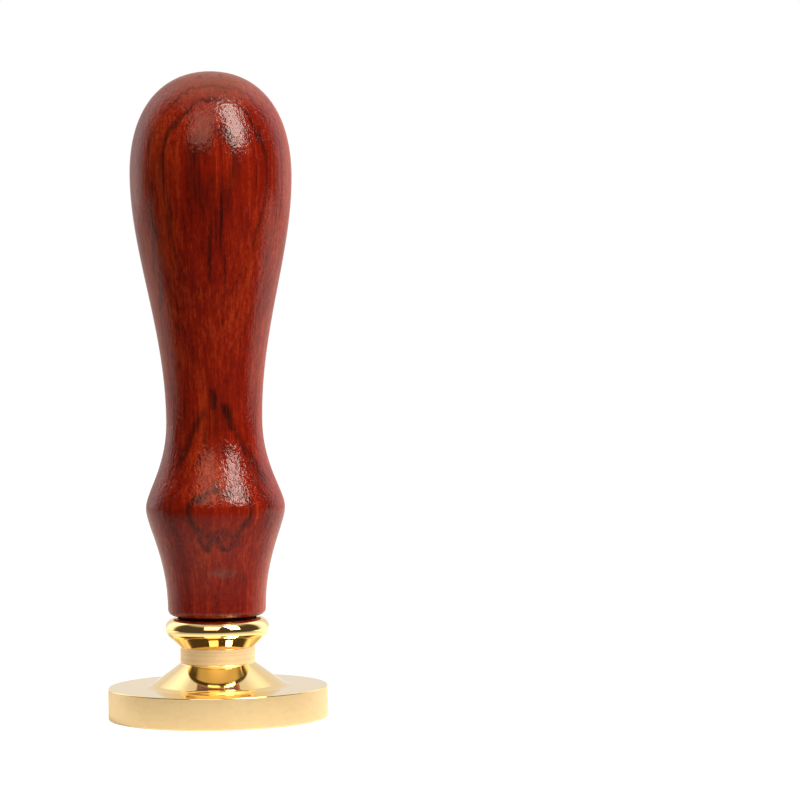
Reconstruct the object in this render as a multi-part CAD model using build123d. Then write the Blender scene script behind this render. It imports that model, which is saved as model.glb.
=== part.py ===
from build123d import *
import math
import os

# Wax seal stamp, millimetres. The axis is Z, the engraved face lies on z = 0 and faces down.

# Brass head, from the engraved face upwards
disc_diameter = 30.0
disc_thickness = 4.3
disc_edge_round = 0.15
flare_height = 3.2
flare_angle = 54.0  # degrees from the axis
flare_foot_round = 2.0
neck_wall = 1.0  # brass left around the thread
neck_height = 2.2
cone_angle = 48.0  # degrees from the axis
bead_overhang = 2.05  # beyond the neck
bead_round = 1.5

# Screw joint between head and handle
thread_diameter = 8.0
thread_pitch = 1.25
thread_flank_gap = 0.08  # play between the two threads, along the axis
thread_crest_gap = 0.1  # play between crest and root, across the axis
thread_reach = 8.0  # how far the bolt goes into the head
hole_spare_depth = 1.0  # empty hole below the bolt's end
bolt_end_chamfer = 0.8

# Washer
washer_width = 1.2
washer_thickness = 0.3
washer_hole_gap = 0.2

# Wooden handle, from its foot upwards
foot_diameter = 13.4
foot_round = 0.9
bulge_rise = 14.7
bulge_diameter = 19.0
waist_rise = 12.0
waist_diameter = 13.1
belly_rise = 33.35
belly_diameter = 22.05
crown_rise = 14.1

# How far each curve of the handle keeps its direction, as a share of its run
foot_stretch = 0.52
bulge_lower_stretch = 0.17
bulge_upper_stretch = 0.19
waist_lower_stretch = 0.535
waist_upper_stretch = 0.38
belly_lower_stretch = 0.32
belly_upper_stretch = 0.655
crown_stretch = 0.585

# Bolt inside the handle
shank_length = 2.5
shank_gap = 0.1
thread_runout = 1.0  # machine thread that reaches above the handle's foot
wood_thread_length = 14.0
wood_thread_pitch = 3.2
wood_core_diameter = 5.4
wood_thread_depth = 1.0
pilot_gap = 0.05
point_length = 3.0

# Engraved frond, drawn on the face as it is seen from below, tip up
engraving_depth = 0.9
frond_margin = 1.5  # plain rim beyond the tips of the frond
frond_lean = 4.0  # degrees, tip to the left
stalk_width = 1.0
pinna_pairs = 9
lowest_pinna_place = 6.0  # along the stalk, from its lower end
highest_pinna_gap = 2.2  # from the highest pair to the tip
pinna_step_shrink = 0.845
lowest_pinna_spread = 75.0  # degrees from the stalk
highest_pinna_spread = 56.0
pinna_shift = 0.55  # how much lower the right-hand pinnae stand
pinnule_step = 1.55
pinnule_width = 1.35
pinnule_spread = 56.0  # degrees from its pinna
pinnule_share = 0.23  # longest pinnule as a share of its pinna

# Heights and radii that follow from the sizes above
disc_radius = disc_diameter / 2
bolt_crest_radius = thread_diameter / 2
hole_root_radius = bolt_crest_radius + thread_crest_gap
neck_radius = hole_root_radius + neck_wall
neck_foot_z = disc_thickness + flare_height
neck_top_z = neck_foot_z + neck_height
flare_radius = neck_radius + flare_height * math.tan(math.radians(flare_angle))
bead_radius = neck_radius + bead_overhang
bead_center_radius = bead_radius - bead_round
cone_sine = math.sin(math.radians(cone_angle))
cone_cosine = math.cos(math.radians(cone_angle))
cone_top_radius = bead_center_radius + bead_round * cone_cosine
cone_top_z = neck_top_z + (cone_top_radius - neck_radius) * cone_cosine / cone_sine
bead_center_z = cone_top_z + bead_round * cone_sine
head_top_z = bead_center_z + bead_round
foot_z = head_top_z + washer_thickness
bulge_z = foot_z + bulge_rise
waist_z = bulge_z + waist_rise
belly_z = waist_z + belly_rise
crown_z = belly_z + crown_rise
bolt_end_z = head_top_z - thread_reach
hole_floor_z = bolt_end_z - hole_spare_depth
shank_foot_z = foot_z + thread_runout
wood_thread_z = shank_foot_z + shank_length
wood_thread_top_z = wood_thread_z + wood_thread_length
washer_hole_radius = bolt_crest_radius + washer_hole_gap
wood_core_radius = wood_core_diameter / 2
wood_thread_radius = wood_core_radius + wood_thread_depth

# ISO metric thread, as shares of the pitch
flank_slope = math.tan(math.radians(30))
pitch_radius = bolt_crest_radius - 0.32476 * thread_pitch
bolt_root_radius = bolt_crest_radius - 0.61343 * thread_pitch
hole_crest_radius = bolt_root_radius + thread_crest_gap
root_overlap = 0.1  # how deep a thread ridge starts inside its core


def turned(outline):
    """Solid of revolution about Z from a closed outline of (radius, height) edges."""
    profile = Plane.XZ * make_face(outline)
    return revolve(profile, Axis.Z)


def cylinder(radius, low_z, high_z):
    """Upright cylinder on the Z axis between two heights."""
    solid = Cylinder(radius, high_z - low_z, align=(Align.CENTER, Align.CENTER, Align.MIN))
    return Pos(0, 0, low_z) * solid


def thread_ridge(pitch, root_radius, root_half_width, crest_radius, crest_half_width, low_z, high_z):
    """Right-handed helical ridge whose turns cover the heights from low_z to high_z.

    Every ridge of one pitch runs through the same helix, whatever its ends are, so that a bolt
    and a hole made by this function are in mesh.
    """
    first_turn = math.floor(low_z / pitch) - 1
    turns = math.ceil(high_z / pitch) + 1 - first_turn
    corners = [
        (root_radius, -root_half_width),
        (crest_radius, -crest_half_width),
        (crest_radius, crest_half_width),
        (root_radius, root_half_width),
    ]
    start_z = first_turn * pitch
    helices = []
    for radius, offset in corners:
        helix = Edge.make_helix(pitch, turns * pitch, radius, center=(0, 0, start_z + offset))
        helices.append(helix)
    faces = []
    for index, helix in enumerate(helices):
        faces.append(Face.make_surface_from_curves(helix, helices[index - 1]))
    for end in (0, 1):
        ends = [helix @ end for helix in helices]
        faces.append(Face(Wire.make_polygon(ends, close=True)))
    return Solid(Shell(faces))


def threaded_rod(root_radius, crest_radius, widening, low_z, high_z):
    """Rod with the metric thread, longer than the heights that it is for, to be cut to length.

    The ridge is widened along the axis by a play that may be negative. The core is longer than
    the ridge, so that the ridge ends on it.
    """
    inner_radius = root_radius - root_overlap
    half_width = thread_pitch / 4 + pitch_radius * flank_slope + widening / 2
    ridge = thread_ridge(
        thread_pitch,
        inner_radius,
        half_width - inner_radius * flank_slope,
        crest_radius,
        half_width - crest_radius * flank_slope,
        low_z,
        high_z,
    )
    spare = 3 * thread_pitch
    return cylinder(root_radius, low_z - spare, high_z + spare) + ridge


def wood_thread(play):
    """Ridge of the bolt's wood thread, thicker all round by a play."""
    ridge = thread_ridge(
        wood_thread_pitch,
        wood_core_radius - root_overlap,
        wood_thread_depth / 2 + play,
        wood_thread_radius + play,
        wood_thread_depth / 10 + play,
        wood_thread_z,
        wood_thread_top_z,
    )
    return ridge & cylinder(2 * wood_thread_radius, wood_thread_z, wood_thread_top_z)


def direction(angle):
    """Unit vector in the plane of the face, with the angle in degrees from +X."""
    return Vector(math.cos(math.radians(angle)), math.sin(math.radians(angle)))


def lens(start, angle, length, width):
    """Pointed oval face from a start point, with the angle in degrees from +X."""
    along = direction(angle)
    across = Vector(-along.Y, along.X)
    end = start + along * length
    middle = start + along * (length / 2)
    left = ThreePointArc(start, middle + across * (width / 2), end)
    right = ThreePointArc(end, middle - across * (width / 2), start)
    return make_face([left, right])


def pinna(start, angle, length):
    """One side leaf of the frond: a pointed blade with a row of pinnules on each side."""
    faces = [lens(start, angle, length, stalk_width / 2 + length * pinnule_share / 2)]
    pinnule_count = math.floor(length / pinnule_step - 1)
    for index in range(pinnule_count):
        place = (index + 1) * pinnule_step
        root = start + direction(angle) * place
        reach = stalk_width + length * pinnule_share * (1 - (place / length) ** 2)
        for side in (-1, 1):
            faces.append(lens(root, angle + side * pinnule_spread, reach, pinnule_width))
    return faces


def frond():
    """Engraved frond as one flat sketch, with the middle of its stalk at the origin."""
    reach = disc_radius - frond_margin
    stalk_angle = 90 + frond_lean
    along = direction(stalk_angle)
    stalk = SlotCenterToCenter(2 * reach - stalk_width, stalk_width)
    faces = [Rot(0, 0, stalk_angle) * stalk]
    leafy_run = 2 * reach - lowest_pinna_place
    step_count = pinna_pairs - 1
    step_sum = (1 - pinna_step_shrink**step_count) / (1 - pinna_step_shrink)
    step = (leafy_run - highest_pinna_gap) / step_sum
    place = 0
    for index in range(pinna_pairs):
        spread = lowest_pinna_spread + (highest_pinna_spread - lowest_pinna_spread) * index / step_count
        for side in (-1, 1):
            lowest_root = along * (lowest_pinna_place - reach + side * pinna_shift / 2)
            root = lowest_root + along * place
            toward = lowest_root.dot(direction(stalk_angle + side * lowest_pinna_spread))
            longest = math.sqrt(reach**2 - lowest_root.length**2 + toward**2) - toward
            faces += pinna(root, stalk_angle + side * spread, longest * (1 - place / leafy_run))
        place += step
        step *= pinna_step_shrink
    return Sketch() + faces


def make_seal_head():
    """Turned brass head with its tapped hole and its engraved face."""
    neck_foot = (neck_radius, neck_foot_z)
    neck_top = (neck_radius, neck_top_z)
    cone_top = (cone_top_radius, cone_top_z)
    bead_side = (bead_radius, bead_center_z)
    bead_top = (bead_center_radius, head_top_z)
    outline = [
        Line((0, 0), (disc_radius, 0)),
        Line((disc_radius, 0), (disc_radius, disc_thickness)),
        Line((disc_radius, disc_thickness), (flare_radius, disc_thickness)),
        Line((flare_radius, disc_thickness), neck_foot),
        Line(neck_foot, neck_top),
        Line(neck_top, cone_top),
        TangentArc(cone_top, bead_side, tangent=(cone_sine, cone_cosine)),
        TangentArc(bead_side, bead_top, tangent=(0, 1)),
        Line(bead_top, (0, head_top_z)),
        Line((0, head_top_z), (0, 0)),
    ]
    body = turned(outline)
    circles = body.edges().filter_by(GeomType.CIRCLE)
    rims = circles.filter_by(lambda edge: abs(edge.radius - disc_radius) < disc_edge_round / 10)
    body = fillet(rims, disc_edge_round)
    circles = body.edges().filter_by(GeomType.CIRCLE)
    flare_foot = circles.filter_by(lambda edge: abs(edge.radius - flare_radius) < flare_foot_round / 10)
    body = fillet(flare_foot, flare_foot_round)

    tap = threaded_rod(hole_crest_radius, hole_root_radius, thread_flank_gap, hole_floor_z, head_top_z)
    hole = tap & cylinder(disc_radius, hole_floor_z, head_top_z + thread_pitch)
    mouth_radius = hole_root_radius + thread_crest_gap
    mouth_depth = mouth_radius - hole_crest_radius
    mouth = Cone(hole_crest_radius, mouth_radius, mouth_depth)
    mouth = Pos(0, 0, head_top_z - mouth_depth / 2) * mouth

    face_view = Plane(origin=(0, 0, 0), x_dir=(-1, 0, 0), z_dir=(0, 0, -1))
    engraving = extrude(face_view * frond(), -engraving_depth)
    return body - hole - mouth - engraving


def make_washer():
    """Flat ring between the head and the handle's foot."""
    ring = cylinder(washer_hole_radius + washer_width, head_top_z, foot_z)
    return ring - cylinder(washer_hole_radius, head_top_z, foot_z)


def make_hanger_bolt():
    """Bolt with a machine thread below, a plain shank and a wood thread above."""
    end_radius = bolt_crest_radius - bolt_end_chamfer
    envelope = turned(
        Polyline(
            (0, bolt_end_z),
            (end_radius, bolt_end_z),
            (bolt_crest_radius, bolt_end_z + bolt_end_chamfer),
            (bolt_crest_radius, shank_foot_z),
            (0, shank_foot_z),
            close=True,
        )
    )
    rod = threaded_rod(bolt_root_radius, bolt_crest_radius, -thread_flank_gap, bolt_end_z, shank_foot_z)
    machine_end = rod & envelope

    shank = cylinder(wood_thread_radius, shank_foot_z, wood_thread_z)
    core = cylinder(wood_core_radius, wood_thread_z, wood_thread_top_z)
    point = Pos(0, 0, wood_thread_top_z + point_length / 2) * Cone(wood_core_radius, 0, point_length)
    return machine_end + shank + core + wood_thread(0) + point


def make_handle():
    """Turned handle with the threaded hole that holds the bolt for good."""
    foot = foot_diameter / 2
    bulge = bulge_diameter / 2
    waist = waist_diameter / 2
    belly = belly_diameter / 2
    foot_top_z = foot_z + foot_round
    foot_run = bulge_z - foot_top_z
    outline = [
        Line((0, foot_z), (foot - foot_round, foot_z)),
        TangentArc((foot - foot_round, foot_z), (foot, foot_top_z), tangent=(1, 0)),
        Bezier(
            (foot, foot_top_z),
            (foot, foot_top_z + foot_stretch * foot_run),
            (bulge, bulge_z - bulge_lower_stretch * foot_run),
            (bulge, bulge_z),
        ),
        Bezier(
            (bulge, bulge_z),
            (bulge, bulge_z + bulge_upper_stretch * waist_rise),
            (waist, waist_z - waist_lower_stretch * waist_rise),
            (waist, waist_z),
        ),
        Bezier(
            (waist, waist_z),
            (waist, waist_z + waist_upper_stretch * belly_rise),
            (belly, belly_z - belly_lower_stretch * belly_rise),
            (belly, belly_z),
        ),
        Bezier(
            (belly, belly_z),
            (belly, belly_z + belly_upper_stretch * crown_rise),
            (crown_stretch * belly, crown_z),
            (0, crown_z),
        ),
        Line((0, crown_z), (0, foot_z)),
    ]
    body = turned(outline)
    mouth_radius = max(bolt_crest_radius, wood_thread_radius) + shank_gap
    mouth = cylinder(mouth_radius, foot_z, wood_thread_z)
    pilot_radius = wood_core_radius + pilot_gap
    pilot = cylinder(pilot_radius, wood_thread_z, wood_thread_top_z)
    drill_point = Pos(0, 0, wood_thread_top_z + point_length / 2) * Cone(pilot_radius, 0, point_length)
    return body - mouth - pilot - drill_point - wood_thread(pilot_gap)


os.makedirs("parts", exist_ok=True)
export_step(make_seal_head(), "parts/seal_head.step")
export_step(make_washer(), "parts/washer.step")
export_step(make_hanger_bolt(), "parts/hanger_bolt.step")
export_step(make_handle(), "parts/handle.step")
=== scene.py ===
import math
import bpy
import numpy
from mathutils import Matrix, Vector


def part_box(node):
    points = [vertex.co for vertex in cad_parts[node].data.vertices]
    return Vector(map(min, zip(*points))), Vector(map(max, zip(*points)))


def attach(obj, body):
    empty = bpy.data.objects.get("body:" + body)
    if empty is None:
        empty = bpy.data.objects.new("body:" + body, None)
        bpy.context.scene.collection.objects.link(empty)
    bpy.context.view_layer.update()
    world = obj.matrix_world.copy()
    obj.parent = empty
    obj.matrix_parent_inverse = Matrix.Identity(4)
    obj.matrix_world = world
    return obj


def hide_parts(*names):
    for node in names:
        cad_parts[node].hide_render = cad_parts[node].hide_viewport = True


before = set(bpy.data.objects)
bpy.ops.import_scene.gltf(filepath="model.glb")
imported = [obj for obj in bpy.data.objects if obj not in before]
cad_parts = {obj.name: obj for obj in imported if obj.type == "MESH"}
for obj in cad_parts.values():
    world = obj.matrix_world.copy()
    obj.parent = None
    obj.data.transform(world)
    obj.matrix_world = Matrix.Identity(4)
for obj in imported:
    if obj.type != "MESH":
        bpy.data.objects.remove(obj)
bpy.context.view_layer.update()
mm = 0.001
mergeDistance = 0.001 * mm
print("frame loaded")


def deselectAll():
    if bpy.context.mode != "OBJECT":
        bpy.ops.object.mode_set(mode="OBJECT")
    bpy.ops.object.select_all(action="DESELECT")


def pick(obj):
    deselectAll()
    obj.select_set(True)
    bpy.context.view_layer.objects.active = obj


# a knot is (place, handle before, handle after), each (across, up) in metres
def drawOutline(name, knots, smoothness):
    deselectAll()
    bpy.ops.curve.primitive_bezier_curve_add(location=(0, 0, 0))
    outline = bpy.context.object
    outline.name = name
    outline.data.resolution_u = smoothness
    spline = outline.data.splines[0]
    spline.bezier_points.add(len(knots) - 2)
    for knot, (place, before, after) in zip(spline.bezier_points, knots):
        knot.handle_left_type = "FREE"
        knot.handle_right_type = "FREE"
        knot.co = (place[0], 0, place[1])
        knot.handle_left = (before[0], 0, before[1])
        knot.handle_right = (after[0], 0, after[1])
    bpy.ops.object.convert(target="MESH")
    return bpy.context.object


# corners are (across, up, radius of the rounding) in mm, a corner with no radius stays sharp
def roundedKnots(corners):
    points = [Vector((across, up)) * mm for across, up, _ in corners]
    knots = []
    for index, corner in enumerate(points):
        radius = corners[index][2] * mm
        if radius == 0:
            knots.append((corner, corner, corner))
            continue
        toLast = (points[index - 1] - corner).normalized()
        toNext = (points[index + 1] - corner).normalized()
        turn = math.pi - toLast.angle(toNext)
        reach = radius * math.tan(turn / 2)
        # handles of this length draw an arc of a circle
        grip = radius * math.tan(turn / 4) * 4 / 3
        start = corner + toLast * reach
        end = corner + toNext * reach
        knots.append((start, start, start - toLast * grip))
        knots.append((end, end - toNext * grip, end))
    return knots


def turnOutline(outline, steps):
    pick(outline)
    bpy.ops.object.mode_set(mode="EDIT")
    bpy.ops.mesh.select_all(action="SELECT")
    bpy.ops.mesh.remove_doubles(threshold=mergeDistance)
    bpy.ops.mesh.spin(steps=steps, angle=2 * math.pi, center=(0, 0, 0), axis=(0, 0, 1))
    bpy.ops.mesh.select_all(action="SELECT")
    bpy.ops.mesh.remove_doubles(threshold=mergeDistance)
    bpy.ops.mesh.normals_make_consistent(inside=False)
    bpy.ops.object.mode_set(mode="OBJECT")


# helpers that build materials
noiseMiddle = 0.5


def newMaterial(name):
    material = bpy.data.materials.new(name)
    material.use_nodes = True
    return material, material.node_tree, material.node_tree.nodes["Principled BSDF"]


# inputs are sockets to link or values to set
def node(tree, kind, inputs=(), **settings):
    made = tree.nodes.new(kind)
    for key, value in settings.items():
        setattr(made, key, value)
    for key, value in dict(inputs).items():
        if isinstance(value, bpy.types.NodeSocket):
            tree.links.new(value, made.inputs[key])
        else:
            made.inputs[key].default_value = value
    return made


def setValues(shader, values):
    for key, value in values.items():
        shader.inputs[key].default_value = value


def math2(tree, operation, first, second=0.0, third=0.0):
    return node(tree, "ShaderNodeMath", {0: first, 1: second, 2: third}, operation=operation).outputs[0]


def splitUp(tree, vector):
    return node(tree, "ShaderNodeSeparateXYZ", {0: vector}).outputs


# object coordinates in mm
def coordsInMm(tree):
    coords = node(tree, "ShaderNodeTexCoord").outputs["Object"]
    return node(tree, "ShaderNodeMapping", {"Vector": coords, "Scale": (1 / mm,) * 3}).outputs[0]


def noise(tree, coords, scale=1.0, detail=2.0, roughness=0.5):
    settings = {"Vector": coords, "Scale": scale, "Detail": detail, "Roughness": roughness}
    return node(tree, "ShaderNodeTexNoise", settings).outputs["Fac"]


# noise that is drawn out along some axis
def grain(tree, coords, scale, place=(0, 0, 0), detail=2.0, roughness=0.5):
    settings = {"Vector": coords, "Scale": scale, "Location": place}
    drawnOut = node(tree, "ShaderNodeMapping", settings).outputs[0]
    return noise(tree, drawnOut, detail=detail, roughness=roughness)


# stops are (place, colour)
def ramp(tree, factor, stops):
    made = node(tree, "ShaderNodeValToRGB", {"Fac": factor})
    elements = made.color_ramp.elements
    while len(elements) < len(stops):
        elements.new(0.5)
    for element, (place, colour) in zip(elements, stops):
        element.position = place
        element.color = (*colour, 1)
    return made.outputs["Color"]


def mapRange(tree, value, low, high, newLow=0.0, newHigh=1.0, smooth=False):
    kind = "SMOOTHSTEP" if smooth else "LINEAR"
    settings = {"Value": value, "From Min": low, "From Max": high, "To Min": newLow, "To Max": newHigh}
    return node(tree, "ShaderNodeMapRange", settings, interpolation_type=kind).outputs[0]


# each side is a socket or a plain colour
def mixColour(tree, factor, first, second, blend="MIX"):
    sides = [side if isinstance(side, bpy.types.NodeSocket) else (*side, 1) for side in (first, second)]
    settings = {0: factor, 6: sides[0], 7: sides[1]}
    return node(tree, "ShaderNodeMix", settings, data_type="RGBA", blend_type=blend).outputs[2]


# distance is in mm
def addBump(tree, shader, height, strength, distance, sockets=("Normal",)):
    bump = node(tree, "ShaderNodeBump", {"Height": height, "Strength": strength, "Distance": distance * mm})
    for socket in sockets:
        tree.links.new(bump.outputs[0], shader.inputs[socket])


# Wooden handle
handleShape = {
    "footDiameter": 13.4,
    "footRound": 0.9,
    "bulgeRise": 14.7,
    "bulgeDiameter": 19.0,
    "waistRise": 12.0,
    "waistDiameter": 13.1,
    "bellyRise": 33.35,
    "bellyDiameter": 22.05,
    "footStretch": 0.52,
    "bulgeLowerStretch": 0.17,
    "bulgeUpperStretch": 0.19,
    "waistLowerStretch": 0.535,
    "waistUpperStretch": 0.38,
    "bellyLowerStretch": 0.32,
    "bellyUpperStretch": 0.655,
    "crownStretch": 0.585,
    "boreDiameter": 8.2,
    "boreDepth": 3.5,
    "pilotDiameter": 7.5,
    "pilotDepth": 20.5,
    "rowsPerCurve": 22,
    "turnSteps": 144,
    "smoothAngle": 40.0,
}


def makeHandle(shape):
    low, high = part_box("handle")
    footZ = low.z / mm
    crownZ = high.z / mm
    foot = shape["footDiameter"] / 2
    bulge = shape["bulgeDiameter"] / 2
    waist = shape["waistDiameter"] / 2
    belly = shape["bellyDiameter"] / 2
    bore = shape["boreDiameter"] / 2
    pilot = shape["pilotDiameter"] / 2
    footTopZ = footZ + shape["footRound"]
    bulgeZ = footZ + shape["bulgeRise"]
    waistZ = bulgeZ + shape["waistRise"]
    bellyZ = waistZ + shape["bellyRise"]
    footRun = bulgeZ - footTopZ
    boreZ = footZ + shape["boreDepth"]
    pilotZ = footZ + shape["pilotDepth"]
    # the last corner only shows the foot's rounding which way to turn
    inner = roundedKnots([
        (0, pilotZ, 0), (pilot, pilotZ, 0), (pilot, boreZ, 0), (bore, boreZ, 0),
        (bore, footZ, 0), (foot, footZ, shape["footRound"]), (foot, footTopZ + 1, 0),
    ])[:-1]
    footKnot = inner.pop()
    outer = [
        (footKnot[0] / mm, footKnot[1] / mm, (foot, footTopZ + shape["footStretch"] * footRun)),
        ((bulge, bulgeZ), (bulge, bulgeZ - shape["bulgeLowerStretch"] * footRun),
         (bulge, bulgeZ + shape["bulgeUpperStretch"] * shape["waistRise"])),
        ((waist, waistZ), (waist, waistZ - shape["waistLowerStretch"] * shape["waistRise"]),
         (waist, waistZ + shape["waistUpperStretch"] * shape["bellyRise"])),
        ((belly, bellyZ), (belly, bellyZ - shape["bellyLowerStretch"] * shape["bellyRise"]),
         (belly, bellyZ + shape["bellyUpperStretch"] * (crownZ - bellyZ))),
        ((0, crownZ), (shape["crownStretch"] * belly, crownZ), (0, crownZ)),
    ]
    outer = [[Vector(point) * mm for point in knot] for knot in outer]
    handle = drawOutline("turnedHandle", inner + outer, shape["rowsPerCurve"])
    turnOutline(handle, shape["turnSteps"])
    pick(handle)
    bpy.ops.object.shade_smooth_by_angle(angle=math.radians(shape["smoothAngle"]))
    return handle


# a range is (from, to) of a noise, or of a place in mm, and then what it becomes at both
woodLook = {
    "deep": (0.071, 0.0023, 0.0007),
    "warm": (0.158, 0.0068, 0.0015),
    "glow": (0.29, 0.0285, 0.0055),
    "toneStops": (0.5, 0.74, 0.98),
    "dark": (0.012, 0.0022, 0.0019),
    # pale tan for the crown's top: paler end grain with a painted sheen of light from above
    "endGrainAndPaintedSheen": (0.17, 0.065, 0.038),
    "endGrainAndPaintedSheenRange": (81.5, 87.5, 0, 0.5),
    "roughnessRange": (0.4, 1.0, 0.6, 0.45),
    "sway": {"scale": (0.12, 0.12, 0.05), "place": (16.1, 0, 4.9)},
    "swayRange": (0.25, 0.75, -0.35, 0.35),
    "flame": {"scale": (0.5, 0.5, 0.05), "place": (40.3, 20.1, 2.2), "detail": 3},
    "flameRange": (0.25, 0.75, -0.4, 0.4),
    "fibre": {"scale": (1.3, 1.3, 0.025), "detail": 4, "roughness": 0.6},
    "fibreShare": 0.4,
    "strands": {"scale": (2.4, 2.4, 0.04), "place": (3, 9, 2), "detail": 3, "roughness": 0.6},
    "strandShare": 0.35,
    "hairs": {"scale": (6, 6, 0.06), "place": (5, 1, 7), "roughness": 0.6},
    "hairShare": 0.25,
    "patches": {"scale": (0.16, 0.16, 0.05), "place": (11, 5, 8)},
    "patchShare": 0.5,
    "mottle": {"scale": (1.7, 1.7, 1.1), "place": (7, 3, 1), "detail": 4, "roughness": 0.7},
    "mottleRange": (0.25, 0.75, -0.09, 0.09),
    "streaks": {"scale": (1.6, 1.6, 0.05), "place": (21, 4, 9), "detail": 3, "roughness": 0.55},
    "streakRange": (0.6, 0.72, 0, 0.55),
    "pores": {"scale": (5.5, 5.5, 0.5), "place": (1, 2, 3), "roughness": 0.7},
    "poreRange": (0.64, 0.74),
    "poreShare": 0.35,
    # the side, crown, foot and left ranges paint light and shade into the wood's tone
    "paintedSideLightRange": (0.5, 5.5, 0.28, 0),
    "heartRange": (8.4, 10.6, 0, -0.1),
    "paintedCrownShadeRange": (76, 84, 0, -0.07),
    "paintedFootShadeRange": (15, 24, -0.05, 0),
    "paintedLeftShadingRange": (30, 42, -0.05, 0.12),
    "paintedLeftShadingReach": (-7, -2),
    "frontRange": (-3, -1, 1, 0),
    "facing": 5.0,  # degrees, how far right of the front the growth layers face
    "layers": [  # how far in front of the axis a dark layer lies, in mm, and how dark it is
        (-10.2, 0.6), (-8.1, 0.8), (-5.9, 0.5), (-3.1, 0.7), (0.4, 0.4), (3.4, 0.3),
        (6.8, 0.6), (8.6, 1.0), (10.75, 1.0),
    ],
    "layerRise": 0.5,
    "layerFall": 0.2,
    "spread": 12.0,
    "patchy": {"scale": (0.4, 0.4, 0.07), "place": (11.1, 14, 20.7), "detail": 3},
    "patchyRange": (0.35, 0.56, 0.4, 1.0),
    "layerStrandRange": (0.3, 0.7, 1.1, 0.6),
    "figure": [  # height in mm, and how much of the layers shows there
        (0, 0.4), (20, 0.4), (24.5, 0.25), (27, 1.0), (41, 0.9), (46, 0.3), (61, 0.4), (72, 0.65), (78, 0.95),
    ],
    "figureTop": 100.0,
    # dark lines in front: both ends (across, height) and half width in mm, how dark, fade of the ends
    "seams": [
        ((1.9, 62.0), (1.9, 73.0), 0.42, 0.95, 3.0), ((0.2, 57.5), (0.2, 68.5), 0.42, 0.8, 3.0),
        ((2.5, 57.0), (2.5, 64.5), 0.42, 0.7, 3.0), ((1.0, 63.0), (1.0, 71.5), 0.42, 0.6, 3.0),
        ((-7.4, 59.0), (-7.4, 75.0), 0.42, 0.6, 3.0), ((-6.7, 50.0), (-6.7, 64.0), 0.42, 0.6, 3.0),
        ((0.4, 41.6), (0.2, 45.8), 0.75, 1.0, 1.2), ((0.7, 36.5), (0.4, 45.5), 3.0, 0.42, 3.5),
        ((-5.2, 33.6), (-0.5, 43.2), 0.95, 0.75, 1.6), ((7.4, 31.4), (2.4, 40.4), 0.95, 0.7, 1.6),
        ((2.9, 38.6), (1.4, 43.8), 1.0, 0.95, 1.2),
        ((-0.9, 23.0), (-3.1, 28.5), 0.85, 0.7, 0.6), ((-0.9, 23.0), (0.1, 25.7), 0.8, 0.8, 0.3),
        ((1.8, 23.0), (0.1, 25.7), 0.95, 0.8, 0.3), ((1.8, 23.0), (5.2, 28.0), 1.1, 0.7, 0.6),
    ],
    "seamCore": 0.05,
    "seamWaver": 1.6,
    "seamRagged": {"scale": (1.1, 1.1, 0.8), "place": (2, 8, 6), "detail": 3, "roughness": 0.6},
    "seamJagRange": (44, 50, 0.8, 0.15),
    "seamBreakRange": (0.35, 0.65, 1.0, 0.55),
    "bruise": (1.3, 20.3, 2.2, 1.05),  # across, height and half sizes of a dull spot, in mm
    "bruiseTint": (0.1, 0.04, 0.033),
    "bruiseRagged": {"scale": (0.9, 0.9, 0.9), "place": (6, 2, 4), "detail": 4, "roughness": 0.65},
    "bruiseFray": 2.6,
    "bruiseRange": (1.1, 2.1, 0.6, 0),
    "peel": {"scale": (2.3, 2.3, 1.75), "roughness": 0.55},
    "grit": {"scale": (6.5, 6.5, 4.6), "place": (8, 3, 5), "detail": 1},
    "gritShare": 0.12,
    "slopeRange": (0.1, 0.45, 0.65, 1.2),
    "skinRange": (38, 60, 1.4, 0.95),
    "poreDip": -0.35,
    "skinDepth": 0.07,
    "coat": 0.49,
    "coatRoughness": 0.14,
    "coatIor": 1.5,
}


# dark growth layers: planes in front of the axis, bent by the sway and the flame of the grain
def layerStrength(tree, coords, depth, height, strands, look):
    spread = look["spread"]
    stops = []
    for place, dark in look["layers"]:
        for at, level in ((place - look["layerRise"], 0), (place, dark), (place + look["layerFall"], 0)):
            stops.append(((at + spread) / (2 * spread), (level,) * 3))
    layers = ramp(tree, mapRange(tree, depth, -spread, spread), stops)
    patchy = grain(tree, coords, **look["patchy"])
    layers = math2(tree, "MULTIPLY", layers, mapRange(tree, patchy, *look["patchyRange"]))
    layers = math2(tree, "MULTIPLY", layers, mapRange(tree, strands, *look["layerStrandRange"]))
    top = look["figureTop"]
    shown = [(place / top, (level,) * 3) for place, level in look["figure"]]
    return math2(tree, "MULTIPLY", layers, ramp(tree, mapRange(tree, height, 0, top), shown))


def seamStrength(tree, coords, parts, flame, hairs, look):
    waver = look["seamWaver"]
    shift = waver * noiseMiddle
    across = math2(tree, "MULTIPLY_ADD", flame, waver, parts["X"])
    ragged = math2(tree, "SUBTRACT", grain(tree, coords, **look["seamRagged"]), noiseMiddle)
    jag = mapRange(tree, parts["Z"], *look["seamJagRange"])
    across = math2(tree, "MULTIPLY_ADD", ragged, jag, across)
    front = mapRange(tree, parts["Y"], *look["frontRange"])
    broken = math2(tree, "MULTIPLY", front, mapRange(tree, hairs, *look["seamBreakRange"]))
    seams = 0.0
    for (start, lower), (end, upper), width, dark, fade in look["seams"]:
        place = mapRange(tree, parts["Z"], lower, upper, start + shift, end + shift)
        apart = math2(tree, "ABSOLUTE", math2(tree, "SUBTRACT", across, place))
        seam = mapRange(tree, apart, look["seamCore"], width, dark, 0, smooth=True)
        rising = mapRange(tree, parts["Z"], lower, lower + fade, smooth=True)
        falling = mapRange(tree, parts["Z"], upper - fade, upper, 1, 0, smooth=True)
        seam = math2(tree, "MULTIPLY", seam, math2(tree, "MULTIPLY", rising, falling))
        seams = math2(tree, "MAXIMUM", seams, seam)
    return math2(tree, "MULTIPLY", seams, broken)


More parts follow.
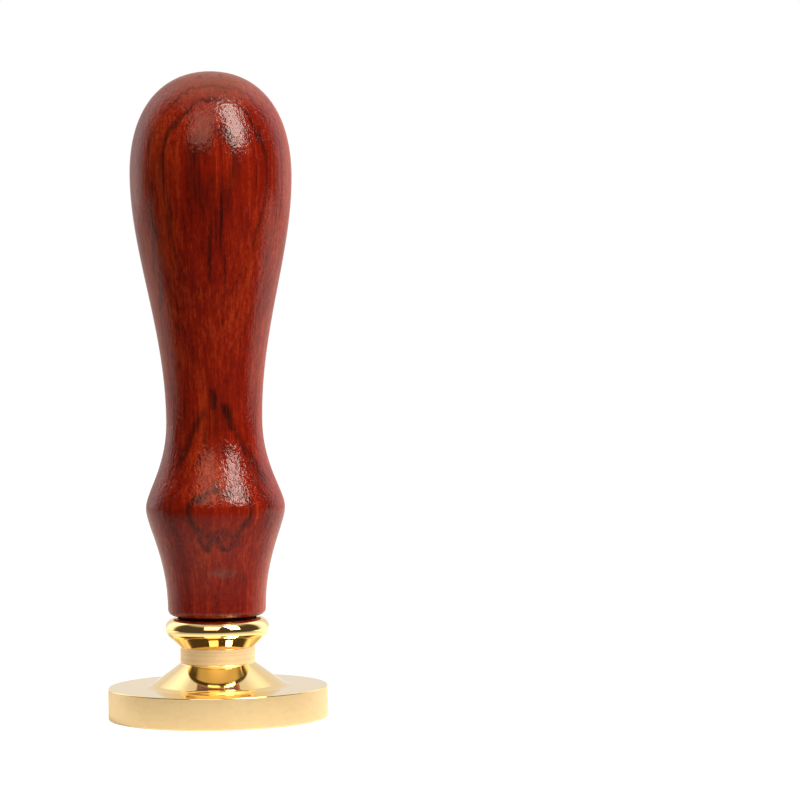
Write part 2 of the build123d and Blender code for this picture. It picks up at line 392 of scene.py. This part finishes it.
def bruiseStrength(tree, coords, parts, look):
    across, height, halfWidth, halfHeight = look["bruise"]
    aside = mapRange(tree, parts["X"], across - halfWidth, across + halfWidth, -1, 1)
    above = mapRange(tree, parts["Z"], height - halfHeight, height + halfHeight, -1, 1)
    reach = math2(tree, "ADD", math2(tree, "MULTIPLY", aside, aside), math2(tree, "MULTIPLY", above, above))
    ragged = grain(tree, coords, **look["bruiseRagged"])
    reach = math2(tree, "MULTIPLY_ADD", ragged, look["bruiseFray"], reach)
    spot = mapRange(tree, reach, *look["bruiseRange"], smooth=True)
    return math2(tree, "MULTIPLY", spot, mapRange(tree, parts["Y"], *look["frontRange"]))


# lacquer that follows the pores, with a skin of its own that is rougher low down and on slopes
def addLacquer(tree, shader, coords, height, pore, look):
    peel = grain(tree, coords, **look["peel"])
    grit = grain(tree, coords, **look["grit"])
    normal = node(tree, "ShaderNodeNewGeometry").outputs["True Normal"]
    slope = math2(tree, "ABSOLUTE", splitUp(tree, normal)["Z"])
    skin = math2(tree, "MULTIPLY_ADD", grit, look["gritShare"], peel)
    skin = math2(tree, "MULTIPLY", skin, mapRange(tree, slope, *look["slopeRange"]))
    skin = math2(tree, "MULTIPLY", skin, mapRange(tree, height, *look["skinRange"]))
    skin = math2(tree, "MULTIPLY_ADD", pore, look["poreDip"], skin)
    addBump(tree, shader, skin, 1.0, look["skinDepth"], ("Normal", "Coat Normal"))
    setValues(shader, {
        "Specular IOR Level": 0.0,
        "Coat Weight": look["coat"],
        "Coat Roughness": look["coatRoughness"],
        "Coat IOR": look["coatIor"],
    })


def makeWood(look):
    wood, tree, shader = newMaterial("lacqueredRedWood")
    coords = coordsInMm(tree)
    parts = splitUp(tree, coords)
    sway = grain(tree, coords, **look["sway"])
    flame = grain(tree, coords, **look["flame"])
    facing = math.radians(look["facing"])
    depth = math2(tree, "MULTIPLY", parts["Y"], -math.cos(facing))
    depth = math2(tree, "MULTIPLY_ADD", parts["X"], math.sin(facing), depth)
    depth = math2(tree, "ADD", depth, mapRange(tree, sway, *look["swayRange"]))
    depth = math2(tree, "ADD", depth, mapRange(tree, flame, *look["flameRange"]))

    fibre = grain(tree, coords, **look["fibre"])
    strands = grain(tree, coords, **look["strands"])
    hairs = grain(tree, coords, **look["hairs"])
    patches = grain(tree, coords, **look["patches"])
    mottle = grain(tree, coords, **look["mottle"])
    tone = math2(tree, "MULTIPLY", fibre, look["fibreShare"])
    tone = math2(tree, "ADD", tone, mapRange(tree, mottle, *look["mottleRange"]))
    for pattern, share in ((strands, "strandShare"), (hairs, "hairShare"), (patches, "patchShare")):
        tone = math2(tree, "MULTIPLY_ADD", pattern, look[share], tone)
    # paler towards the sides as painted light, darker far from the axis in front and behind, darker at the
    # crown and at the foot as painted shade
    apart = math2(tree, "ABSOLUTE", depth)
    height = parts["Z"]
    lifts = ((apart, "paintedSideLightRange"), (apart, "heartRange"), (height, "paintedCrownShadeRange"), (height, "paintedFootShadeRange"))
    for place, lift in lifts:
        tone = math2(tree, "ADD", tone, mapRange(tree, place, *look[lift]))
    # painted light on the left side above the bulge, painted shade on the left side below it
    left = mapRange(tree, height, *look["paintedLeftShadingRange"])
    tone = math2(tree, "ADD", tone, mapRange(tree, parts["X"], *look["paintedLeftShadingReach"], left, 0))
    colours = (look["deep"], look["warm"], look["glow"])
    colour = ramp(tree, tone, list(zip(look["toneStops"], colours)))

    # the crown's top is mixed toward pale tan: paler end grain with a painted sheen of light from above
    endGrainAndPaintedSheen = mapRange(tree, height, *look["endGrainAndPaintedSheenRange"], smooth=True)
    colour = mixColour(tree, endGrainAndPaintedSheen, colour, look["endGrainAndPaintedSheen"])

    dark = look["dark"]
    layers = layerStrength(tree, coords, depth, height, strands, look)
    seams = seamStrength(tree, coords, parts, flame, hairs, look)
    colour = mixColour(tree, math2(tree, "MAXIMUM", layers, seams), colour, dark)
    streaks = grain(tree, coords, **look["streaks"])
    colour = mixColour(tree, mapRange(tree, streaks, *look["streakRange"]), colour, dark)
    pore = mapRange(tree, grain(tree, coords, **look["pores"]), *look["poreRange"])
    colour = mixColour(tree, math2(tree, "MULTIPLY", pore, look["poreShare"]), colour, dark)
    bruise = bruiseStrength(tree, coords, parts, look)
    colour = mixColour(tree, bruise, colour, look["bruiseTint"])
    tree.links.new(colour, shader.inputs["Base Color"])
    tree.links.new(mapRange(tree, tone, *look["roughnessRange"]), shader.inputs["Roughness"])
    addLacquer(tree, shader, coords, height, pore, look)
    return wood


handle = makeHandle(handleShape)
handle.data.materials.append(makeWood(woodLook))
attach(handle, "grip")
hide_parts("handle")
print("handle turned, faces:", len(handle.data.polygons))


# Brass head
headShape = {
    "discDiameter": 30.0,
    "discThickness": 4.3,
    "edgeRound": 0.15,
    "flareHeight": 3.2,
    "flareAngle": 54.0,
    "flareFootRound": 2.0,
    "neckDiameter": 10.2,
    "neckHeight": 2.2,
    "neckCorner": 0.08,
    "coneAngle": 48.0,
    "beadDiameter": 14.3,
    "beadRound": 1.5,
    "holeDiameter": 8.2,
    "holeDepth": 9.0,
    "mouthChamfer": 0.1,
    "rowsPerCurve": 10,
    "turnSteps": 192,
    "smoothAngle": 50.0,
}


def makeHead(shape):
    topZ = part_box("seal_head")[1].z / mm
    disc = shape["discDiameter"] / 2
    neck = shape["neckDiameter"] / 2
    bead = shape["beadDiameter"] / 2
    hole = shape["holeDiameter"] / 2
    discZ = shape["discThickness"]
    neckFootZ = discZ + shape["flareHeight"]
    neckTopZ = neckFootZ + shape["neckHeight"]
    flare = neck + shape["flareHeight"] * math.tan(math.radians(shape["flareAngle"]))
    coneTopZ = neckTopZ + (bead - neck) / math.tan(math.radians(shape["coneAngle"]))
    corners = [
        (0, topZ - shape["holeDepth"], 0),
        (hole, topZ - shape["holeDepth"], 0),
        (hole, topZ - shape["mouthChamfer"], 0),
        (hole + shape["mouthChamfer"], topZ, 0),
        (bead, topZ, shape["beadRound"]),
        (bead, coneTopZ, shape["beadRound"]),
        (neck, neckTopZ, shape["neckCorner"]),
        (neck, neckFootZ, shape["neckCorner"]),
        (flare, discZ, shape["flareFootRound"]),
        (disc, discZ, shape["edgeRound"]),
        (disc, 0, shape["edgeRound"]),
        (0, 0, 0),
    ]
    # the outline stops at the disc's lower edge, and one face closes the underside
    head = drawOutline("brassHead", roundedKnots(corners)[:-1], shape["rowsPerCurve"])
    turnOutline(head, shape["turnSteps"])
    bpy.ops.object.mode_set(mode="EDIT")
    bpy.ops.mesh.select_all(action="DESELECT")
    bpy.ops.mesh.select_mode(type="EDGE")
    bpy.ops.mesh.select_non_manifold()
    bpy.ops.mesh.edge_face_add()
    bpy.ops.mesh.select_all(action="SELECT")
    bpy.ops.mesh.normals_make_consistent(inside=False)
    bpy.ops.object.mode_set(mode="OBJECT")
    return head


# Engraved frond, on the face as it is seen from below with its tip up
frondShape = {
    "depth": 0.9,
    "margin": 1.5,
    "lean": 4.0,
    "stalkWidth": 1.0,
    "pairs": 9,
    "lowestPlace": 6.0,
    "highestGap": 2.2,
    "stepShrink": 0.845,
    "lowestSpread": 75.0,
    "highestSpread": 56.0,
    "shift": 0.55,
    "pinnuleStep": 1.55,
    "pinnuleWidth": 1.35,
    "pinnuleSpread": 56.0,
    "pinnuleShare": 0.23,
    "roundest": 0.6,
    "wallRun": 0.34,
    "floorInset": 0.18,
    "stalkTaper": 0.24,
    "midrib": 0.16,
    "unevenness": 0.07,
    "unevenStep": 2.4,
    "gridStep": 0.0887,
    "gridMargin": 0.5,
    "cutterLowest": -0.25,
    "cutterThickness": 3.0,
}


def direction(angle):
    return Vector((math.cos(math.radians(angle)), math.sin(math.radians(angle))))


# a leaf is (root, angle, length, width)
def pinnaLeaves(shape, root, angle, length):
    leaves = [(root, angle, length, shape["stalkWidth"] / 2 + length * shape["pinnuleShare"] / 2)]
    for index in range(math.floor(length / shape["pinnuleStep"] - 1)):
        place = (index + 1) * shape["pinnuleStep"]
        start = root + direction(angle) * place
        reach = shape["stalkWidth"] + length * shape["pinnuleShare"] * (1 - (place / length) ** 2)
        for side in (-1, 1):
            leaves.append((start, angle + side * shape["pinnuleSpread"], reach, shape["pinnuleWidth"]))
    return leaves


def frondLeaves(shape, reach):
    stalkAngle = 90 + shape["lean"]
    along = direction(stalkAngle)
    leafyRun = 2 * reach - shape["lowestPlace"]
    steps = shape["pairs"] - 1
    shrink = shape["stepShrink"]
    step = (leafyRun - shape["highestGap"]) * (1 - shrink) / (1 - shrink**steps)
    place = 0
    leaves = []
    for index in range(shape["pairs"]):
        share = index / steps
        spread = shape["lowestSpread"] * (1 - share) + shape["highestSpread"] * share
        for side in (-1, 1):
            lowestRoot = along * (shape["lowestPlace"] - reach + side * shape["shift"] / 2)
            toward = lowestRoot.dot(direction(stalkAngle + side * shape["lowestSpread"]))
            longest = math.sqrt(reach**2 - lowestRoot.length_squared + toward**2) - toward
            root = lowestRoot + along * place
            leaves += pinnaLeaves(shape, root, stalkAngle + side * spread, longest * (1 - place / leafyRun))
        place += step
        step *= shrink
    return leaves


# depth of one leaf's cut: a flat floor with a raised midrib inside a pointed oval, walls sloping around it
def leafDepth(shape, across, up, leaf, depth):
    root, angle, length, width = leaf
    inset = shape["floorInset"]
    along = direction(angle)
    middle = root + along * (length / 2)
    half = length / 2 - inset
    bow = min(width / 2 - inset, shape["roundest"] * half)
    run = abs((across - middle.x) * along.x + (up - middle.y) * along.y)
    aside = abs((up - middle.y) * along.x - (across - middle.x) * along.y)
    offset = (half**2 - bow**2) / (2 * bow)
    toTip = numpy.hypot(run - half, aside)
    toSide = numpy.hypot(run, aside + offset) - offset - bow
    outside = numpy.where((run - half) * offset > aside * half, toTip, toSide)
    rib = shape["midrib"] * numpy.clip(-outside / bow, 0, 1)
    return depth - rib - numpy.maximum(outside, 0) * shape["depth"] / shape["wallRun"]


def stalkDepth(shape, across, up, reach):
    along = direction(90 + shape["lean"])
    half = reach - shape["stalkWidth"] / 2
    run = numpy.clip(across * along.x + up * along.y, -half, half)
    apart = numpy.hypot(across - run * along.x, up - run * along.y)
    narrowing = shape["stalkTaper"] * (run + half) / (2 * half)
    outside = apart - shape["stalkWidth"] / 2 + shape["floorInset"] + narrowing
    return shape["depth"] - numpy.maximum(outside, 0) * shape["depth"] / shape["wallRun"]


# solid whose upper side is the bottom of the engraving
def makeFrondCutter(shape, discRadius):
    reach = discRadius - shape["margin"]
    size = 2 * (reach + shape["gridMargin"])
    deselectAll()
    cells = round(size / shape["gridStep"])
    bpy.ops.mesh.primitive_grid_add(x_subdivisions=cells, y_subdivisions=cells, size=size * mm)
    cutter = bpy.context.object
    cutter.name = "frondCutter"
    places = numpy.empty(3 * len(cutter.data.vertices))
    cutter.data.vertices.foreach_get("co", places)
    places = places.reshape(-1, 3)
    across = -places[:, 0] / mm
    up = places[:, 1] / mm
    deepest = stalkDepth(shape, across, up, reach)
    for index, leaf in enumerate(frondLeaves(shape, reach)):
        depth = shape["depth"] * (1 + shape["unevenness"] * math.sin(shape["unevenStep"] * index))
        deepest = numpy.maximum(deepest, leafDepth(shape, across, up, leaf, depth))
    lowest = shape["cutterLowest"]
    places[:, 2] = numpy.maximum(deepest, lowest) * mm
    cutter.data.vertices.foreach_set("co", places.ravel())
    bpy.ops.object.mode_set(mode="EDIT")
    bpy.ops.mesh.select_mode(type="VERT")
    bpy.ops.mesh.select_all(action="DESELECT")
    bpy.ops.object.mode_set(mode="OBJECT")
    cutter.data.vertices.foreach_set("select", deepest <= lowest)
    bpy.ops.object.mode_set(mode="EDIT")
    bpy.ops.mesh.delete(type="VERT")
    bpy.ops.mesh.select_all(action="SELECT")
    down = (0, 0, -shape["cutterThickness"] * mm)
    bpy.ops.mesh.extrude_region_move(TRANSFORM_OT_translate={"value": down})
    bpy.ops.mesh.select_all(action="SELECT")
    bpy.ops.mesh.normals_make_consistent(inside=False)
    bpy.ops.object.mode_set(mode="OBJECT")
    return cutter


def cutAway(piece, cutter):
    pick(piece)
    cut = piece.modifiers.new("cut", "BOOLEAN")
    cut.operation = "DIFFERENCE"
    cut.solver = "EXACT"
    cut.object = cutter
    bpy.ops.object.modifier_apply(modifier=cut.name)
    bpy.data.objects.remove(cutter)


# a range is as in the wood, a bump is (strength, distance in mm)
brassLook = {
    "base": (0.95, 0.69, 0.3),
    "pale": (0.93, 0.69, 0.34),
    # satin and edge are one brass in two tones, paler on the neck as painted light and darker on the disc's
    # side as painted shade; satin also tints the face
    "satin": (0.93, 0.745, 0.5),
    "edge": (0.83, 0.64, 0.37),
    "smudge": (0.97, 0.95, 0.9),
    "mottle": (0.92, 0.89, 0.82),
    "line": (0.74, 0.52, 0.22),
    "milled": (0.74, 0.58, 0.36),
    "polishCloud": {"scale": 0.35, "detail": 3},
    "polishCloudRange": (0.4, 0.75),
    "polishRoughness": (0.3, 0.8, 0.04, 0.1),
    "polishRings": {"scale": 9.0},
    "polishBump": (0.05, 0.01),
    "neckRange": (5, 7),
    "satinRings": {"scale": 7.0, "detail": 4.0},
    "satinSmudge": {"scale": 0.3, "detail": 3},
    "satinSmudgeRange": (0.35, 0.7, 0, 0.6),
    "satinMottle": {"scale": (0.9, 0.9, 1.5), "place": (2, 6, 1), "detail": 5, "roughness": 0.7},
    "satinMottleRange": (0.48, 0.68, 0, 0.55),
    "satinLines": {"scale": 2.6, "detail": 2.0},
    "satinLineRange": (0.48, 0.62, 0, 0.28),
    "edgeLineShare": 0.12,
    "satinRoughness": (0.3, 0.7, 0.41, 0.54),
    "neckRoughness": 0.12,
    "satinBump": (0.3, 0.02),
    "satinStretch": 0.45,
    "brushTurn": -26.0,
    "brushLines": {"scale": (9, 0.12, 1), "detail": 4, "roughness": 0.65},
    "brushBands": {"scale": (1.1, 0.03, 1), "place": (4, 7, 0), "detail": 3},
    "brushBandRange": (0.35, 0.65),
    "brushRoughness": (0.3, 0.7, 0.3, 0.48),
    "brushBump": (0.4, 0.04),
    "millStipple": {"scale": 6.0, "detail": 3, "roughness": 0.6},
    "millStippleRange": (0.35, 0.65),
    "millTracks": {"scale": (8, 1.5, 1)},
    "millRoughness": (0.3, 0.7, 0.5, 0.32),
    "millBump": (0.6, 0.05),
}


# along is the radius plus the height, so that marks drawn on it run round the axis
def brassCoords(tree):
    coords = coordsInMm(tree)
    parts = splitUp(tree, coords)
    flat = node(tree, "ShaderNodeCombineXYZ", {"X": parts["X"], "Y": parts["Y"]}).outputs[0]
    radius = node(tree, "ShaderNodeVectorMath", {0: flat}, operation="LENGTH").outputs["Value"]
    along = math2(tree, "ADD", radius, parts["Z"])
    return coords, along


def ringNoise(tree, along, scale, detail=3.0):
    settings = {"W": along, "Scale": scale, "Detail": detail}
    return node(tree, "ShaderNodeTexNoise", settings, noise_dimensions="1D").outputs["Fac"]


def makePolishedBrass(look):
    brass, tree, shader = newMaterial("polishedBrass")
    coords, along = brassCoords(tree)
    cloud = noise(tree, coords, **look["polishCloud"])
    colour = mixColour(tree, mapRange(tree, cloud, *look["polishCloudRange"]), look["base"], look["pale"])
    tree.links.new(colour, shader.inputs["Base Color"])
    tree.links.new(mapRange(tree, cloud, *look["polishRoughness"]), shader.inputs["Roughness"])
    addBump(tree, shader, ringNoise(tree, along, **look["polishRings"]), *look["polishBump"])
    setValues(shader, {"Metallic": 1.0})
    return brass


def makeSatinBrass(look):
    brass, tree, shader = newMaterial("satinBrass")
    coords, along = brassCoords(tree)
    onNeck = mapRange(tree, splitUp(tree, coords)["Z"], *look["neckRange"])
    rings = ringNoise(tree, along, **look["satinRings"])
    # the disc's side takes the darker edge tone and the neck the paler satin tone of one brass, painted shade
    # and painted light
    colour = mixColour(tree, onNeck, look["edge"], look["satin"])
    smudge = mapRange(tree, noise(tree, coords, **look["satinSmudge"]), *look["satinSmudgeRange"])
    colour = mixColour(tree, smudge, colour, look["smudge"], "MULTIPLY")
    mottle = mapRange(tree, grain(tree, coords, **look["satinMottle"]), *look["satinMottleRange"])
    colour = mixColour(tree, mottle, colour, look["mottle"], "MULTIPLY")
    lines = mapRange(tree, ringNoise(tree, along, **look["satinLines"]), *look["satinLineRange"])
    lines = math2(tree, "MULTIPLY", lines, mapRange(tree, onNeck, 0, 1, look["edgeLineShare"], 1.0))
    colour = mixColour(tree, lines, colour, look["line"])
    tree.links.new(colour, shader.inputs["Base Color"])
    rough = mapRange(tree, rings, *look["satinRoughness"])
    rough = math2(tree, "MULTIPLY_ADD", onNeck, look["neckRoughness"], rough)
    tree.links.new(rough, shader.inputs["Roughness"])
    addBump(tree, shader, rings, *look["satinBump"])
    tangent = node(tree, "ShaderNodeTangent", direction_type="RADIAL", axis="Z").outputs[0]
    tree.links.new(tangent, shader.inputs["Tangent"])
    setValues(shader, {"Anisotropic": look["satinStretch"], "Metallic": 1.0})
    return brass


# face ground flat, with the steep lines of the belt
def makeBrushedBrass(look):
    brass, tree, shader = newMaterial("brushedBrass")
    turn = (0, 0, math.radians(look["brushTurn"]))
    turned = node(tree, "ShaderNodeMapping", {"Vector": coordsInMm(tree), "Rotation": turn}).outputs[0]
    lines = grain(tree, turned, **look["brushLines"])
    bands = grain(tree, turned, **look["brushBands"])
    colour = mixColour(tree, mapRange(tree, bands, *look["brushBandRange"]), look["pale"], look["satin"])
    tree.links.new(colour, shader.inputs["Base Color"])
    tree.links.new(mapRange(tree, lines, *look["brushRoughness"]), shader.inputs["Roughness"])
    addBump(tree, shader, lines, *look["brushBump"])
    setValues(shader, {"Metallic": 1.0})
    return brass


# floor of the engraving, stippled by the small cutter
def makeMilledBrass(look):
    brass, tree, shader = newMaterial("milledBrass")
    coords = coordsInMm(tree)
    stipple = noise(tree, coords, **look["millStipple"])
    tracks = grain(tree, coords, **look["millTracks"])
    pale = mapRange(tree, stipple, *look["millStippleRange"])
    colour = mixColour(tree, pale, look["milled"], look["satin"])
    tree.links.new(colour, shader.inputs["Base Color"])
    tree.links.new(mapRange(tree, stipple, *look["millRoughness"]), shader.inputs["Roughness"])
    addBump(tree, shader, math2(tree, "ADD", stipple, tracks), *look["millBump"])
    setValues(shader, {"Metallic": 1.0})
    return brass


# how the faces for each finish are told apart, in mm and as the upward share of a face's normal
finishPlaces = {
    "uprightLimit": 0.1,
    "downwardLimit": -0.8,
    "sideSlack": 0.1,
    "undersideSlack": 0.01,
    "depthReach": 1.2,
}


# polished all over, satin on the neck and the disc's side, brushed and milled below
def finishHead(head, shape, engravingDepth, look, places):
    makers = (makePolishedBrass, makeSatinBrass, makeBrushedBrass, makeMilledBrass)
    polished, satin, brushed, milled = range(len(makers))
    for make in makers:
        head.data.materials.append(make(look))
    neckFootZ = shape["discThickness"] + shape["flareHeight"]
    neckTopZ = neckFootZ + shape["neckHeight"]
    sideRadius = shape["discDiameter"] / 2 - places["sideSlack"]
    neckRadius = shape["neckDiameter"] / 2 + places["sideSlack"]
    deepest = places["depthReach"] * engravingDepth
    for face in head.data.polygons:
        centre = face.center / mm
        radius = math.hypot(centre.x, centre.y)
        upright = abs(face.normal.z) < places["uprightLimit"]
        downward = face.normal.z < places["downwardLimit"]
        onSide = radius > sideRadius
        onNeck = radius < neckRadius and neckFootZ < centre.z < neckTopZ
        face.material_index = polished
        if upright and (onSide or onNeck):
            face.material_index = satin
        elif centre.z < places["undersideSlack"]:
            face.material_index = brushed
            face.use_smooth = False
        elif centre.z < deepest and downward and not onSide:
            face.material_index = milled


head = makeHead(headShape)
cutAway(head, makeFrondCutter(frondShape, headShape["discDiameter"] / 2))
pick(head)
bpy.ops.object.shade_smooth_by_angle(angle=math.radians(headShape["smoothAngle"]))
finishHead(head, headShape, frondShape["depth"], brassLook, finishPlaces)
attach(head, "brass_head")
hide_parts("seal_head")
print("head turned and engraved, faces:", len(head.data.polygons))


# Washer and bolt keep their own meshes; the washer is dressed near black as painted shade of the gap between
# wood and brass
gapShadeFibreLook = {
    "felt": {"scale": (5, 5, 2), "detail": 4, "roughness": 0.65},
    "stops": [(0.3, (0.003, 0.0026, 0.0024)), (0.7, (0.012, 0.010, 0.009))],
    "roughnessRange": (0.3, 0.7, 0.75, 0.9),
    "bump": (0.5, 0.05),
    "gloss": 0.15,
}


# near-black washer colour that stands in for the shadow in the gap under the handle
def makeGapShadeFibre(look):
    fibre, tree, shader = newMaterial("blackGapShade")
    felt = grain(tree, coordsInMm(tree), **look["felt"])
    tree.links.new(ramp(tree, felt, look["stops"]), shader.inputs["Base Color"])
    tree.links.new(mapRange(tree, felt, *look["roughnessRange"]), shader.inputs["Roughness"])
    addBump(tree, shader, felt, *look["bump"])
    setValues(shader, {"Specular IOR Level": look["gloss"]})
    return fibre


zincLook = {
    "cloud": {"scale": 0.6, "detail": 4, "roughness": 0.6},
    "stops": [(0.3, (0.52, 0.53, 0.55)), (0.55, (0.62, 0.62, 0.6)), (0.75, (0.66, 0.62, 0.52))],
    "grit": {"scale": 7.0, "detail": 3, "roughness": 0.6},
    "roughnessRange": (0.3, 0.7, 0.22, 0.42),
    "bump": (0.2, 0.02),
}


def makeZinc(look):
    zinc, tree, shader = newMaterial("zincPlatedSteel")
    coords = coordsInMm(tree)
    cloud = noise(tree, coords, **look["cloud"])
    grit = noise(tree, coords, **look["grit"])
    tree.links.new(ramp(tree, cloud, look["stops"]), shader.inputs["Base Color"])
    tree.links.new(mapRange(tree, grit, *look["roughnessRange"]), shader.inputs["Roughness"])
    addBump(tree, shader, grit, *look["bump"])
    setValues(shader, {"Metallic": 1.0})
    return zinc


def dress(cadNode, material):
    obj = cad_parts[cadNode]
    obj.data.materials.clear()
    obj.data.materials.append(material)


dress("washer", makeGapShadeFibre(gapShadeFibreLook))
dress("hanger_bolt", makeZinc(zincLook))
print("washer and bolt dressed")


# Floor, light and camera
studio = {
    "floorWidth": 2.0,
    "floorBehind": 1.0,
    "floorInFront": 0.3,
    "floorTint": (0.78, 0.775, 0.77),
    "floorRoughness": 0.8,
    "floorGloss": 0.1,
    # these ranges paint light into the floor's tint: brighter behind the stamp, dark far in front
    "floorBeyond": (-15, 45, 0.46, 1.22),
    "floorNear": (26, 46),
    "floorFar": (60, 130),
    "floorFront": (-40, 20, 1, 0),
    "floorDim": 0.08,
    "floorGlow": 0.97,
    "floorLight": 1.08,
    "ring": [  # azimuth in degrees, and how bright the surroundings are there
        (-180, 0.86), (-152, 0.86), (-134, 1.8), (-118, 1.6), (-103, 0.14), (-88, 0.08), (60, 0.07),
        (105, 0.09), (119, 1.3), (136, 1.7), (154, 0.88), (180, 0.86),
    ],
    "brightest": 2.0,
    "ringTop": (45, 62),
    "zenith": 0.65,
    "behind": 0.9,
    "behindRange": (0.1, 0.4),
    "darkTint": (1.0, 0.8, 0.6),
    "panelDistance": 1.0,
    "brightPanel": {"azimuth": 46, "elevation": 43.5, "width": 0.365, "height": 0.73, "radiance": 20.5,
                    "colour": (1.0, 0.97, 0.87)},
    "dimPanel": {"azimuth": -11, "elevation": 41, "width": 0.52, "height": 0.6, "radiance": 3.3,
                 "colour": (1.0, 0.9, 0.66)},
}


# pale paint that looks white to the camera, with only a trace of the stamp's shadow
def makePaint(look):
    paint, tree, shader = newMaterial("palePaint")
    coords = coordsInMm(tree)
    back = splitUp(tree, coords)["Y"]
    away = node(tree, "ShaderNodeVectorMath", {0: coords}, operation="LENGTH").outputs["Value"]
    # painted light in the floor's tint: even around the stamp, brighter behind it, unlit far in front
    beyond = mapRange(tree, back, *look["floorBeyond"], smooth=True)
    near = mapRange(tree, away, *look["floorNear"], 1.0, beyond, smooth=True)
    far = mapRange(tree, away, *look["floorFar"], smooth=True)
    far = math2(tree, "MULTIPLY", far, mapRange(tree, back, *look["floorFront"]))
    level = math2(tree, "MULTIPLY", near, mapRange(tree, far, 0, 1, 1.0, look["floorDim"]))
    tint = node(tree, "ShaderNodeVectorMath", {0: look["floorTint"], 3: level}, operation="SCALE")
    tree.links.new(tint.outputs[0], shader.inputs["Base Color"])
    setValues(shader, {"Roughness": look["floorRoughness"], "Specular IOR Level": look["floorGloss"]})
    glow = node(tree, "ShaderNodeEmission", {"Strength": look["floorLight"]})
    seen = node(tree, "ShaderNodeLightPath").outputs["Is Camera Ray"]
    share = math2(tree, "MULTIPLY", seen, look["floorGlow"])
    both = node(tree, "ShaderNodeMixShader", {0: share, 1: shader.outputs[0], 2: glow.outputs[0]})
    tree.links.new(both.outputs[0], tree.nodes["Material Output"].inputs["Surface"])
    return paint


def makeFloor(look):
    deselectAll()
    bpy.ops.mesh.primitive_plane_add(size=1, location=(0, 0, 0))
    floor = bpy.context.object
    floor.name = "paleFloor"
    bpy.ops.object.mode_set(mode="EDIT")
    depth = look["floorBehind"] + look["floorInFront"]
    bpy.ops.transform.resize(value=(look["floorWidth"], depth, 1))
    bpy.ops.transform.translate(value=(0, (look["floorBehind"] - look["floorInFront"]) / 2, 0))
    bpy.ops.object.mode_set(mode="OBJECT")
    floor.data.materials.append(makePaint(look))


# azimuth is from the front to the right, both angles in degrees
def hangPanel(name, panel, distance):
    azimuth = math.radians(panel["azimuth"])
    elevation = math.radians(panel["elevation"])
    away = Vector((
        math.sin(azimuth) * math.cos(elevation),
        -math.cos(azimuth) * math.cos(elevation),
        math.sin(elevation),
    ))
    deselectAll()
    bpy.ops.object.light_add(type="AREA", location=away * distance)
    lamp = bpy.context.object
    lamp.name = name
    lamp.rotation_euler = away.to_track_quat("Z", "Y").to_euler()
    lamp.data.shape = "RECTANGLE"
    lamp.data.size = panel["width"]
    lamp.data.size_y = panel["height"]
    lamp.data.energy = panel["radiance"] * math.pi * panel["width"] * panel["height"]
    lamp.data.color = panel["colour"]
    lamp.visible_camera = False


# bright behind and at the sides, dark in front below the panels
def makeSurroundings(look):
    world = bpy.data.worlds.new("softStudio")
    world.use_nodes = True
    bpy.context.scene.world = world
    tree = world.node_tree
    background = tree.nodes["Background"]
    parts = splitUp(tree, node(tree, "ShaderNodeTexCoord").outputs["Generated"])
    azimuth = math2(tree, "ARCTAN2", parts["X"], math2(tree, "MULTIPLY", parts["Y"], -1))
    brightest = look["brightest"]
    stops = [(place / 360 + 0.5, (level / brightest,) * 3) for place, level in look["ring"]]
    around = ramp(tree, mapRange(tree, azimuth, -math.pi, math.pi), stops)
    around = math2(tree, "MULTIPLY", around, brightest)
    low, high = (math.sin(math.radians(angle)) for angle in look["ringTop"])
    above = mapRange(tree, parts["Z"], low, high, smooth=True)
    over = mapRange(tree, parts["Y"], *look["behindRange"], look["zenith"], look["behind"])
    level = mapRange(tree, above, 0, 1, around, over)
    shade = math2(tree, "SUBTRACT", 1, math2(tree, "MINIMUM", level, 1))
    seen = node(tree, "ShaderNodeLightPath").outputs["Is Camera Ray"]
    level = math2(tree, "MAXIMUM", level, seen)
    tree.links.new(level, background.inputs["Strength"])
    tint = mixColour(tree, math2(tree, "SUBTRACT", shade, seen), (1, 1, 1), look["darkTint"])
    tree.links.new(tint, background.inputs["Color"])


# lengths in mm, the roll in degrees
cameraPlace = {
    "distance": 450.0,
    "height": 56.67,
    "across": 25.4,
    "aimHeight": 43.07,
    "roll": 0.75,
    "frameWidth": 109.24,
    "sensorWidth": 36.0,
    "nearest": 10.0,
}


def makeCamera(place):
    deselectAll()
    bpy.ops.object.camera_add()
    camera = bpy.context.object
    camera.name = "photoCamera"
    stand = Vector((place["across"], -place["distance"], place["height"])) * mm
    aim = Vector((place["across"], 0, place["aimHeight"])) * mm
    toward = aim - stand
    camera.location = stand
    turn = toward.to_track_quat("-Z", "Y").to_matrix().to_4x4()
    turn = turn @ Matrix.Rotation(math.radians(-place["roll"]), 4, "Z")
    camera.rotation_euler = turn.to_euler()
    camera.data.sensor_width = place["sensorWidth"]
    camera.data.lens = place["sensorWidth"] * toward.length / (place["frameWidth"] * mm)
    camera.data.clip_start = place["nearest"] * mm
    bpy.context.scene.camera = camera


makeFloor(studio)
for panelName in ("brightPanel", "dimPanel"):
    hangPanel(panelName, studio[panelName], studio["panelDistance"])
makeSurroundings(studio)
makeCamera(cameraPlace)
bpy.context.scene.view_settings.view_transform = "Standard"
print("studio set up")
